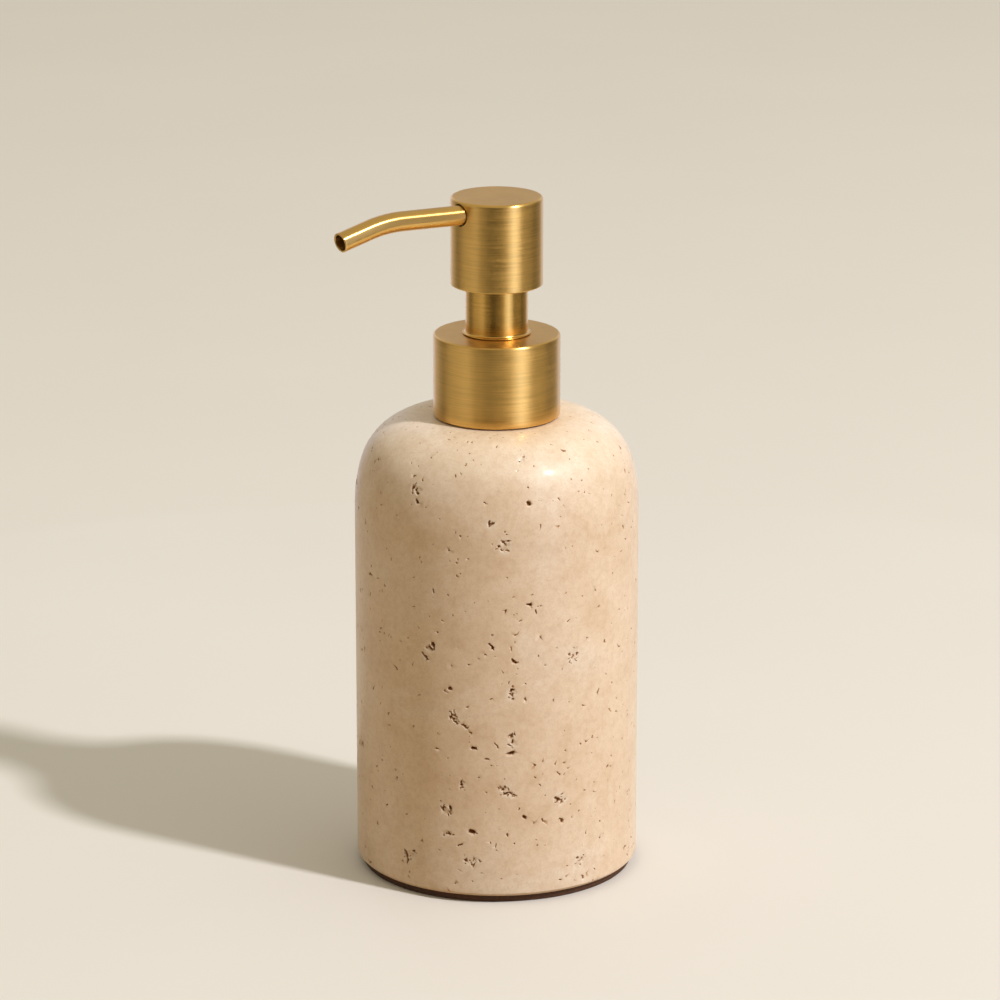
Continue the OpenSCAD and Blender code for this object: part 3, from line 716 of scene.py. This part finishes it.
def scatter_pits(profile):
    """The pits, each a short crevice: its angle, distance along the profile, lean, length, half
    width, depth and darkness, which sets its brown and its painted shade."""
    random = np.random.default_rng(PIT_SEED)
    facing = VIEW_AZIMUTH - math.pi / 2
    outside_length = profile.outside
    heights = profile.points[:, 1]
    top = int(np.argmax(heights))
    pits = []

    def along(height):
        """The distance along the profile of a height on the outside."""
        return float(np.interp(height, heights[: top + 1], profile.at[: top + 1]))

    def add(angle, s, half_width, length, lean, dark=None, depth=None):
        dark = random.uniform(0.4, 1) if dark is None else dark
        if depth is None:
            depth = half_width * random.uniform(1.3, 2.1) * (0.5 + 0.5 * dark)
        if 0.8 < s < outside_length - 3.5:
            pits.append((angle, s, lean, length, half_width, depth, dark))

    def patch(angle, height, spread, count):
        """A shallow crumbled spot with pits of all sizes in it."""
        s = along(height)
        lean = random.uniform(0, math.pi)
        add(angle, s, 0.5 * spread, 0.8 * spread, lean, 0.05, random.uniform(0.08, 0.14))
        for _ in range(count):
            half_width = min(max(0.25 * math.exp(random.normal(0, 0.38)), 0.14), 0.5)
            out, way = 1.05 * spread * math.sqrt(random.random()), random.uniform(0, 2 * math.pi)
            x = out * (math.cos(way) * math.cos(lean) - 0.55 * math.sin(way) * math.sin(lean))
            y = out * (math.cos(way) * math.sin(lean) + 0.55 * math.sin(way) * math.cos(lean))
            length = random.exponential(0.4)
            turned = lean + random.normal(0, 0.9)
            add(angle + x / profile.radius, s + y, half_width, length, turned)

    for degrees, height, spread, count in PATCHES:
        patch(facing + math.radians(degrees), height, spread, count)
    for degrees, height, length, half_width, lean in CREVICES:
        angle = facing + math.radians(degrees)
        add(angle, along(height), half_width, length, math.radians(lean), 1)
    for _ in range(BACK_PATCHES):
        angle = facing + random.uniform(math.radians(75), math.radians(285))
        height = 8 + 112 * random.random() ** 1.4
        patch(angle, height, random.uniform(1.4, 2.6), random.integers(5, 14))
    for _ in range(BACK_CREVICES):
        s = outside_length * random.random() ** 1.3 * 0.9
        angle = facing + random.uniform(math.radians(60), math.radians(300))
        half_width, length = random.uniform(0.26, 0.44), random.uniform(0.4, 1.8)
        add(angle, s, half_width, length, random.normal(-0.9, 0.7))
    for _ in range(SMALL_PITS):
        s = outside_length * random.random() ** 1.4 * 0.95
        half_width = random.uniform(0.19, 0.31)
        angle, length = random.uniform(0, 2 * math.pi), random.exponential(0.35)
        add(angle, s, half_width, length, random.normal(-0.8, 0.8))
    for _ in range(TINY_PITS):
        s = outside_length * random.random() ** 1.2 * 0.98
        half_width = 0.13 + 0.12 * random.random() ** 2
        angle, length = random.uniform(0, 2 * math.pi), random.exponential(0.2)
        add(angle, s, half_width, length, random.normal(-0.8, 0.9))
    return np.array(pits)


class PitField:
    """How far points on the stone are from its pits."""

    # How much a crevice bends per mm, and narrows at its ends
    BEND, TAPER = 0.12, 0.5
    # Where its rim is and how wide its slope is, as shares of its half width, and how much the
    # noise widens it
    RIM, SLOPE, WIDENING = 0.8, 0.6, 0.7
    # How far a pit adds to the crowd round it in mm, how much, and how much of it has no effect
    CROWD_REACH, CROWD_GAIN, CROWD_START = 1.6, 1.2, 0.4

    def __init__(self, pits, profile):
        self.pits, self.profile = pits, profile
        self.radius = profile.place(pits[:, 1])[:, 0]

    def each(self, turn, s, reach):
        """Numbers of points and pits within reach of each other, and how far each pair is apart."""
        found_point, found_pit, found_distance = [], [], []
        order = np.argsort(s)
        sorted_s = s[order]
        for k, (angle, at, lean, length, half_width, *_) in enumerate(self.pits):
            wide = length / 2 + half_width + reach
            first, last = np.searchsorted(sorted_s, (at - wide, at + wide))
            near = order[first:last]
            x = ((turn[near] - angle + math.pi) % (2 * math.pi) - math.pi) * self.radius[k]
            close = np.abs(x) < wide
            near, x = near[close], x[close]
            y = s[near] - at
            run = x * math.cos(lean) + y * math.sin(lean)
            side = y * math.cos(lean) - x * math.sin(lean) + self.BEND * run * run
            past = np.maximum(np.abs(run) - length / 2, 0)
            taper = 1 + self.TAPER * (run / (length / 2 + half_width)) ** 2
            found_distance.append(np.hypot(side * taper, past))
            found_point.append(near)
            found_pit.append(np.full(len(near), k))
        return tuple(np.concatenate(f) for f in (found_point, found_pit, found_distance))

    def rim_distance(self, turn, s, reach=4.0):
        """The distance from each point to the nearest pit's rim, and that pit's half width."""
        nearest, size = np.full(len(s), FAR), np.full(len(s), FAR)
        point, pit, distance = self.each(turn, s, reach)
        rim = np.abs(distance - self.pits[pit, 4] * self.RIM)
        order = np.argsort(-rim)
        nearest[point[order]] = rim[order]
        size[point[order]] = self.pits[pit[order], 4]
        return nearest, size

    def depth(self, turn, s, rough):
        """Each point's depth in mm, and 0 to 1 for the pits' brown and painted shade there."""
        deepest, share = np.zeros(len(s)), np.zeros(len(s))
        point, pit, distance = self.each(turn, s, 0.3)
        half_width = self.pits[pit, 4] * (1 + self.WIDENING * rough[point])
        inside = np.clip((1 - distance / half_width) / self.SLOPE, 0, 1)
        inside = inside * inside * (3 - 2 * inside)
        np.maximum.at(deepest, point, inside * self.pits[pit, 5])
        np.maximum.at(share, point, inside * self.pits[pit, 6])
        return deepest, share

    def crowd(self, turn, s, reach=3.5):
        """0 to 1 for how many pits crowd round each point."""
        total = np.zeros(len(s))
        point, pit, distance = self.each(turn, s, reach)
        near = np.exp(-((distance / self.CROWD_REACH) ** 2))
        np.add.at(total, point, near * self.pits[pit, 4] * self.CROWD_GAIN)
        return np.clip(total - self.CROWD_START, 0, 1)


def split_edges(faces, corners, count, too_long):
    """Splits each edge that is too long, and its triangles. corners holds their own (turn, s)."""
    after = np.roll(faces, -1, 1)
    keys = np.minimum(faces, after) * count + np.maximum(faces, after)
    edges, which = np.unique(keys, return_inverse=True)
    which = which.reshape(keys.shape)
    marked = np.zeros(len(edges), bool)
    marked[which[too_long(corners, np.roll(corners, -1, 1))]] = True
    number = count + np.cumsum(marked) - 1
    split = marked[which]
    middle, middle_at = number[which], (corners + np.roll(corners, -1, 1)) / 2
    splits = split.sum(1)
    new_faces, new_corners = [faces[splits == 0]], [corners[splits == 0]]

    def turned(rows, shift):
        """The chosen triangles, each turned so that edge number shift comes first."""
        pick = (np.arange(3) + shift[:, None]) % 3
        rows = rows[:, None]
        return [of[rows, pick] for of in (faces, corners, middle, middle_at)]

    def keep(f, c, m, ma, *triangles):
        """New triangles. 0 to 2 are the corners and 3 to 5 the edges' middles."""
        all_f, all_c = np.concatenate([f, m], 1), np.concatenate([c, ma], 1)
        for triangle in triangles:
            new_faces.append(all_f[:, triangle])
            new_corners.append(all_c[:, triangle])

    one, two, three = (np.flatnonzero(splits == n) for n in (1, 2, 3))
    keep(*turned(one, np.argmax(split[one], 1)), [0, 3, 2], [3, 1, 2])
    keep(*turned(two, (np.argmin(split[two], 1) + 1) % 3), [3, 1, 4], [0, 3, 4], [0, 4, 2])
    keep(*turned(three, np.zeros(len(three), int)), [0, 3, 5], [3, 1, 4], [5, 4, 2], [3, 4, 5])
    return np.concatenate(new_faces), np.concatenate(new_corners), count + int(marked.sum())


def starting_grid(profile, rows):
    """Triangles all over the stone, their corners' own (turn, s) and the number of vertices."""
    stops = [0.0]
    cell = CELL / MM
    marks = sorted({float(profile.at[k]) for k in rows})
    for a, b in zip(marks, marks[1:]):
        inner = a >= profile.outside - 1e-6
        steps = max(1, round((b - a) / (cell * (INSIDE_CELLS if inner else 1))))
        stops += [a + (b - a) * i / steps for i in range(1, steps + 1)]
    around = round(2 * math.pi * profile.radius / cell)
    rings = len(stops) - 1
    i, j = np.meshgrid(np.arange(rings), np.arange(around), indexing="ij")
    low, high = i * around, (i + 1) % rings * around
    numbers = low + j, low + (j + 1) % around, high + (j + 1) % around, high + j
    s = np.array(stops)
    step = 2 * math.pi / around
    cell_corners = ((j, i), (j + 1, i), (j + 1, i + 1), (j, i + 1))
    places = [np.stack([u * step, s[v]], -1) for u, v in cell_corners]
    odd = ((i + j) % 2 == 1)[..., None, None]

    def halves(a, b, c, d):
        """Each cell's two triangles, cut along one diagonal and the other by turns."""
        first = np.where(odd, np.stack([a, b, d], 2), np.stack([a, b, c], 2))
        second = np.where(odd, np.stack([b, c, d], 2), np.stack([a, c, d], 2))
        return np.concatenate([half.reshape(-1, 3, half.shape[3]) for half in (first, second)])

    faces = halves(*(number[..., None] for number in numbers))[..., 0]
    return faces, halves(*places), rings * around


def refine(profile, pits, faces, corners, count):
    """The triangles, made small enough to show the rims of the pits."""

    def too_long(start, end):
        middle = ((start + end) / 2).reshape(-1, 2)
        radius = profile.place(middle[:, 1])[:, 0]
        gap = (end - start).reshape(-1, 2)
        long = np.hypot(gap[:, 0] * radius, gap[:, 1])
        rim, size = pits.rim_distance(middle[:, 0], middle[:, 1])
        wanted = np.clip(size * EDGE_SHARE, EDGE_LEAST, EDGE_MOST)
        wanted += EDGE_GROWTH * np.maximum(rim - size * RIM_SHARE, 0)
        # Nothing is split inside, or at the very foot
        wanted[(middle[:, 1] > profile.outside) | (middle[:, 1] < 0.3)] = FAR
        return (long > wanted * EDGE_SLACK).reshape(start.shape[:2])

    for _ in range(REFINE_ROUNDS):
        before = count
        faces, corners, count = split_edges(faces, corners, count, too_long)
        if count == before:
            break
    return faces, corners, count


def carve(profile, pits, turn, s):
    """The vertices in mm with the pits cut in, each one's depth, and its pit brown and painted
    shade.
    """
    place, out = profile.place(s), profile.normal(s, 0)
    ring = np.stack([np.cos(turn), np.sin(turn)], -1)
    spots = np.concatenate([ring * place[:, :1], place[:, 1:]], 1)
    # Unseeded, this noise starts from the clock
    noise.seed_set(PIT_SEED)
    ragged, fine = (
        np.array([noise.noise_vector(Vector(p) * waves) for p in spots])
        for waves, _ in (RAGGED, RAGGED_FINE)
    )
    shift = RAGGED[1] * ragged + RAGGED_FINE[1] * fine
    angle = turn + shift[:, 0] / profile.radius
    depth, share = pits.depth(angle, s + shift[:, 1], ragged[:, 2])
    depth[s > profile.outside] = 0
    outward = np.concatenate([ring * out[:, :1], out[:, 1:]], 1)
    return spots - outward * depth[:, None], depth, share


def set_normals(mesh, profile, faces, corners, depth):
    """The outline's own normals where the stone is whole, and the mesh's inside the pits."""
    turn, s = corners[..., 0], corners[..., 1]
    lean = np.sign(s.mean(1, keepdims=True) - s) * 0.05
    flat = profile.normal(s, lean)
    true = np.stack([flat[..., 0] * np.cos(turn), flat[..., 0] * np.sin(turn), flat[..., 1]], -1)
    own = np.zeros(len(depth) * 3, np.float32)
    mesh.vertices.foreach_get("normal", own)
    touched = np.zeros(len(depth), bool)
    touched[faces[(depth[faces] > 0).any(1)]] = True
    normals = np.where(touched[faces][..., None], own.reshape(-1, 3)[faces], true)
    mesh.normals_split_custom_set(normals.reshape(-1, 3).tolist())


def add_bake_map(mesh, profile, corners):
    """The bake's own map: the outside over most of it, and the inside over the rest."""
    s = corners[..., 1]
    outer = s / profile.outside * OUTSIDE_SHARE
    inner = (s - profile.outside) / (profile.length - profile.outside) * (1 - OUTSIDE_SHARE)
    v = np.where(s <= profile.outside, outer, OUTSIDE_SHARE + inner)
    places = np.stack([corners[..., 0] / (2 * math.pi), v], -1)
    places = places * (1 - 2 * BAKE_MARGIN) + BAKE_MARGIN
    uv = mesh.uv_layers.new(name="OFBake")
    uv.data.foreach_set("uv", places.astype(np.float32).ravel())


def make_stone():
    outline, outside_points, rows = stone_outline()
    profile = Profile(outline, outside_points)
    pits = PitField(scatter_pits(profile), profile)
    faces, corners, count = refine(profile, pits, *starting_grid(profile, rows))
    vertex_at = np.zeros((count, 2))
    vertex_at[faces.ravel()] = corners.reshape(-1, 2)
    turn, s = vertex_at.T
    spots, depth, share = carve(profile, pits, turn, s)
    mesh_data = (spots * MM).tolist(), faces.tolist()
    made = piece("stone_body_honed", *mesh_data, "bottle", "travertine", "stone_body", 180)
    mesh = made.data
    # pit: 0 to 1 for the pits' brown and painted shade; fill: how crowded the pits are, for the
    # cream crumbs
    for name, values in (("pit", share), ("fill", pits.crowd(turn, s))):
        layer = mesh.attributes.new(name, "FLOAT", "POINT")
        layer.data.foreach_set("value", values.astype(np.float32))
    set_normals(mesh, profile, faces, corners, depth)
    add_bake_map(mesh, profile, corners)
    return made


stone = make_stone()
stone.data.materials.append(travertine())

# ---------------------------------------------------------------- base pad


def make_pad():
    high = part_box("base_pad")[1]
    r, top = high.x, high.z
    soft = 0.45 * MM
    outline = [(0, 0)]
    outline += arc(r - soft, soft, soft, -90, 0, 6)
    outline += arc(r - soft, top - soft, soft, 0, 90, 6)
    outline += [(0, top)]
    made = turned_part("base_pad", outline, "bottle", "brown_pad", 3 * MM, 160)
    made.data.materials.append(pad_material())


make_pad()

# ---------------------------------------------------------------- metal


def add_brass(made, name):
    """Brushed brass round the sides and smooth satin on the flat top."""
    sides = brushed_brass("brushed_brass_" + name, SATIN, 0.33, 0.75, 1.0)
    flat = plain_metal("satin_brass_" + name, SATIN, 0.36, 0.1, LACQUER)
    for material in (sides, flat):
        made.data.materials.append(material)
    for polygon in made.data.polygons:
        polygon.material_index = int(polygon.normal.z > TOP_SLOPE)


def make_collar():
    low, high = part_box("collar_shell")
    r, z, top = high.x, low.z, high.z
    wall, top_t = 0.8 * MM, 0.9 * MM
    hole = 7.9 * MM
    rounding, rim = 0.8 * MM, 0.3 * MM
    outline = [(r - wall, z)]
    outline += arc(r - rim, z + rim, rim, -90, 0, 5)
    outline += arc(r - rounding, top - rounding, rounding, 0, 90, 10)
    outline += [(hole, top), (hole, top - top_t), (r - wall, top - top_t)]
    made = turned_part("collar_shell", outline, "collar", "brushed_brass", 1.5 * MM, 256)
    add_brass(made, "collar")


def make_sleeve():
    low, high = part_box("neck_sleeve")
    foot_r, z, top = high.x, low.z, high.z
    wall, foot_w, edge = 0.8 * MM, 0.8 * MM, 0.16 * MM
    r = foot_r - foot_w
    bead = 0.3 * MM
    outline = [(r - wall, z)]
    outline += arc(foot_r - edge, z + edge, edge, -90, 90, 8)
    outline += arc(r + foot_w - edge, z + 2 * edge + foot_w - edge, foot_w - edge, 270, 180, 10)[1:]
    outline += arc(r - bead, top - bead, bead, 0, 90, 4)
    outline += [(r - wall, top)]
    made = turned_part("neck_sleeve", outline, "pump_unit", "polished_brass", 1.2 * MM, 192)
    made.data.materials.append(brushed_brass("polished_brass_sleeve", POLISHED, 0.22, 0.55, 0.8))


make_collar()
make_sleeve()

# ---------------------------------------------------------------- head and spout

SPOUT_RISE = math.radians(3)
SPOUT_TURN = math.radians(16)
SPOUT_BEND_R = 38 * MM
SPOUT_STRAIGHT = 30.5 * MM
SPOUT_END = 9 * MM
SPOUT_INSET = 3.2 * MM
SPOUT_R = 2.6 * MM
SPOUT_WALL = 0.5 * MM
SPOUT_SWELL = 0.02 * MM
SPOUT_HOLE_GAP = 0.35 * MM
SPOUT_CREST = SPOUT_STRAIGHT * math.sin(SPOUT_RISE) + SPOUT_BEND_R * (1 - math.cos(SPOUT_RISE))
SPOUT_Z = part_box("spout")[1].z - SPOUT_CREST - SPOUT_R - SPOUT_SWELL


def spout_place(s):
    """The point on the spout's centre line at s from the pump axis, and the way up across it."""
    bend = SPOUT_BEND_R * SPOUT_TURN
    turned = min(max(s - SPOUT_STRAIGHT, 0), bend) / SPOUT_BEND_R
    run = min(s, SPOUT_STRAIGHT) + SPOUT_BEND_R * math.sin(turned)
    drop = SPOUT_BEND_R * (1 - math.cos(turned))
    past = max(s - SPOUT_STRAIGHT - bend, 0)
    run += past * math.cos(turned)
    drop += past * math.sin(turned)
    out = run * math.cos(SPOUT_RISE) + drop * math.sin(SPOUT_RISE)
    rise = run * math.sin(SPOUT_RISE) - drop * math.cos(SPOUT_RISE)
    up = SPOUT_RISE - turned
    return Vector((0, -out, SPOUT_Z + rise)), Vector((0, math.sin(up), math.cos(up)))


def tube_points(outline, segments):
    """A ring of points round the spout for each (distance along it, radius)."""
    points = []
    for s, radius in outline:
        centre, up = spout_place(s)
        for i in range(segments):
            a = 2 * math.pi * i / segments
            points.append(centre + radius * (Vector((math.cos(a), 0, 0)) + up * math.sin(a)))
    return points


def swept(outline, segments):
    """Vertices and faces of a closed outline of (distance along the spout, radius)."""
    faces = []
    for k in range(len(outline)):
        low, high = k * segments, (k + 1) % len(outline) * segments
        for i in range(segments):
            j = (i + 1) % segments
            faces.append((low + i, low + j, high + j, high + i))
    return tube_points(outline, segments), faces


def rod(start, end, radius, segments):
    """A straight rod along the start of the spout, between two distances from the pump axis."""
    around = [(i, (i + 1) % segments) for i in range(segments)]
    faces = [(i, j, segments + j, segments + i) for i, j in around]
    faces += [tuple(reversed(range(segments))), tuple(range(segments, 2 * segments))]
    return tube_points([(start, radius), (end, radius)], segments), faces


def make_spout():
    length = SPOUT_STRAIGHT + SPOUT_BEND_R * SPOUT_TURN + SPOUT_END
    bore, soft = SPOUT_R - SPOUT_WALL, 0.12 * MM
    outline = [(SPOUT_INSET, SPOUT_R)]
    outline += arc(length - soft, SPOUT_R - soft, soft, 90, 0, 4)
    outline += arc(length - soft, bore + soft, soft, 0, -90, 4)
    outline += [(SPOUT_INSET, bore)]
    rows, segments = close_points(outline, 0.6 * MM), 96
    vertices, faces = swept(rows, segments)
    made = piece("spout_tube", vertices, faces, "head", "polished_brass", "spout")
    made.data.materials.append(turned_tube("polished_brass_spout", SATIN, 0.30, 0.8))
    k, i = np.divmod(np.arange(len(faces)), segments)
    around = np.stack([i, i + 1, i + 1, i], -1) / segments
    along = np.stack([k, k, k + 1, k + 1], -1) / len(rows)
    uv = made.data.uv_layers.new(name=TUBE_MAP)
    uv.data.foreach_set("uv", np.stack([around, along], -1).astype(np.float32).ravel())


def make_head():
    low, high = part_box("head_shell")
    r, z, top = high.x, low.z, high.z
    wall, top_t = 0.9 * MM, 0.8 * MM
    rounding, rim = 0.9 * MM, 0.3 * MM
    outline = [(0, top - top_t), (r - wall, top - top_t), (r - wall, z)]
    outline += arc(r - rim, z + rim, rim, -90, 0, 5)
    outline += arc(r - rounding, top - rounding, rounding, 0, 90, 10)
    outline += [(0, top)]
    made = turned_part("head_shell", outline, "head", "brushed_brass", 0.5 * MM, 288)
    # The hole that the spout comes out of
    vertices, faces = rod(r - 4 * MM, r + 2 * MM, SPOUT_R + SPOUT_HOLE_GAP, 96)
    mesh = bpy.data.meshes.new("spout_hole")
    mesh.from_pydata(vertices, [], faces)
    cutter = add_object("spout_hole", mesh)
    cut = made.modifiers.new("hole", "BOOLEAN")
    cut.object = cutter
    cut.operation = "DIFFERENCE"
    cut.solver = "EXACT"
    bpy.context.view_layer.update()
    evaluated = made.evaluated_get(bpy.context.evaluated_depsgraph_get())
    holed = bpy.data.meshes.new_from_object(evaluated)
    made.modifiers.clear()
    made.data = holed
    bpy.data.objects.remove(cutter)
    smooth(holed)
    add_brass(made, "head")


make_spout()
make_head()

# ---------------------------------------------------------------- return spring


def make_spring():
    """The coil, with its end turns lying closed, in the space of its CAD solid."""
    low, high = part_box("return_spring")
    wire = 1 * MM
    radius = high.x - wire / 2
    turns, per_turn, sides = 7, 48, 16
    free = high.z - low.z - 3 * wire
    vertices, faces = [], []
    for i in range(turns * per_turn + 1):
        turn = i / per_turn
        rise = wire * (min(turn, 1) + max(0, turn - turns + 1))
        rise += free * min(max(turn - 1, 0), turns - 2) / (turns - 2)
        a = 2 * math.pi * turn
        for k in range(sides):
            b = 2 * math.pi * k / sides
            out = radius + wire / 2 * math.cos(b)
            z = low.z + wire / 2 + rise + wire / 2 * math.sin(b)
            vertices.append((out * math.cos(a), out * math.sin(a), z))
    for i in range(turns * per_turn):
        for k in range(sides):
            a, b = i * sides + k, i * sides + (k + 1) % sides
            faces.append((b + sides, b, a, a + sides))
    last = turns * per_turn * sides
    faces += [tuple(range(sides)), tuple(last + k for k in reversed(range(sides)))]
    made = piece(
        "return_spring_coil", vertices, faces, "pump_unit", "stainless_steel", "return_spring", 50
    )
    made.data.materials.append(plain_metal("stainless_steel_wire", (0.62, 0.61, 0.59), 0.24))
    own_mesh(made)


make_spring()

# ---------------------------------------------------------------- inner pieces

# The material of each piece that keeps its CAD shape
INNER = {
    ("base_plug",): travertine(),
    ("neck_insert", "closure"): plastic("ivory_plastic", (0.78, 0.73, 0.60), 0.42),
    ("neck_gasket",): plastic("white_rubber", (0.74, 0.73, 0.70), 0.62, 0.0, 2.0),
    ("pump_housing", "ball_cage"): plastic("natural_plastic", (0.84, 0.85, 0.83), 0.34, 0.25),
    ("dip_tube",): plastic("tube_plastic", (0.86, 0.87, 0.85), 0.28, 0.45),
    ("stem_guide", "piston_rod", "stem", "head_insert"): plastic(
        "white_plastic", (0.82, 0.81, 0.78), 0.36
    ),
    ("piston_seal",): plastic("seal_plastic", (0.80, 0.79, 0.74), 0.5),
    ("inlet_ball",): plain_metal("stainless_steel_ball", (0.64, 0.63, 0.61), 0.12),
}
for names, material in INNER.items():
    for name in names:
        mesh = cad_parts[name].data
        mesh.materials.clear()
        mesh.materials.append(material)
